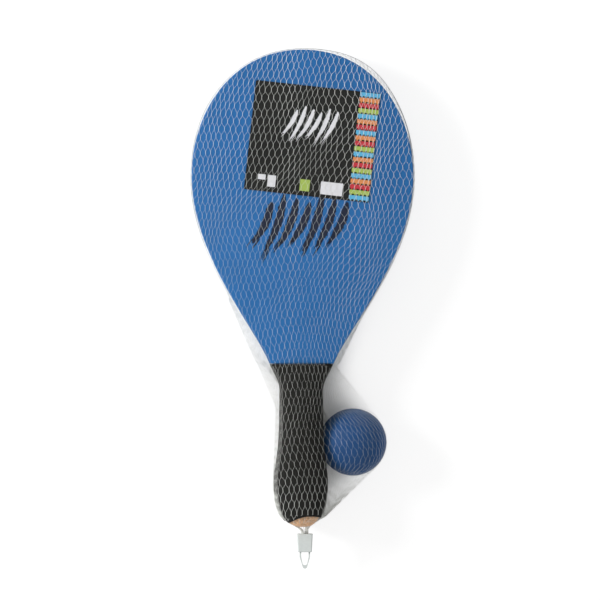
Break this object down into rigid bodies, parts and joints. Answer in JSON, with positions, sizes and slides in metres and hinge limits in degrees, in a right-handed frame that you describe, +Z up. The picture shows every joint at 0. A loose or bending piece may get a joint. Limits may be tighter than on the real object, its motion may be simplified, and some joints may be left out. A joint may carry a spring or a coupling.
{
  "type": "frescobol racket set",
  "caption": "Wooden beach rackets with foam grips, a rubber ball and a card, packed flat in a plastic net tube closed by a clip with a hanging loop.",
  "frame": {"origin": "on the flat underside of the net, below the middle of the blades' widest line", "axes": "+X across the blades, +Y from the handles to the blade tips, +Z up, out of the front racket's face; the set lies on its back"},
  "size_m": [0.1948, 0.4512, 0.0664],
  "materials": {
    "blue_board": "blue satin paint on fibreboard",
    "bare_wood": "bare, sanded",
    "grip_foam": "black closed-cell foam",
    "ball_rubber": "matt blue rubber",
    "card_print": "black print with a column of coloured bars",
    "net_plastic": "extruded translucent white netting",
    "clip_plastic": "pale grey moulding"
  },
  "bodies": {
    "pack": {"front_racket_board": "blue_board", "front_racket_face_scale": "bare_wood", "front_racket_rear_scale": "bare_wood", "front_racket_grip_sleeve": "grip_foam", "back_racket_board": "blue_board", "back_racket_face_scale": "bare_wood", "back_racket_rear_scale": "bare_wood", "back_racket_grip_sleeve": "grip_foam", "ball_front_cup": "ball_rubber", "ball_rear_cup": "ball_rubber", "label_card": "card_print", "net_tube": "net_plastic", "clip_sleeve": "clip_plastic"},
    "plug": {"clip_plug": "clip_plastic"}
  },
  "joints": [
    {"name": "plug_slide", "type": "slide", "parent": "pack", "child": "plug", "axis": [0, -0.9993, 0.0363], "range_m": [0, 0.012]}
  ]
}
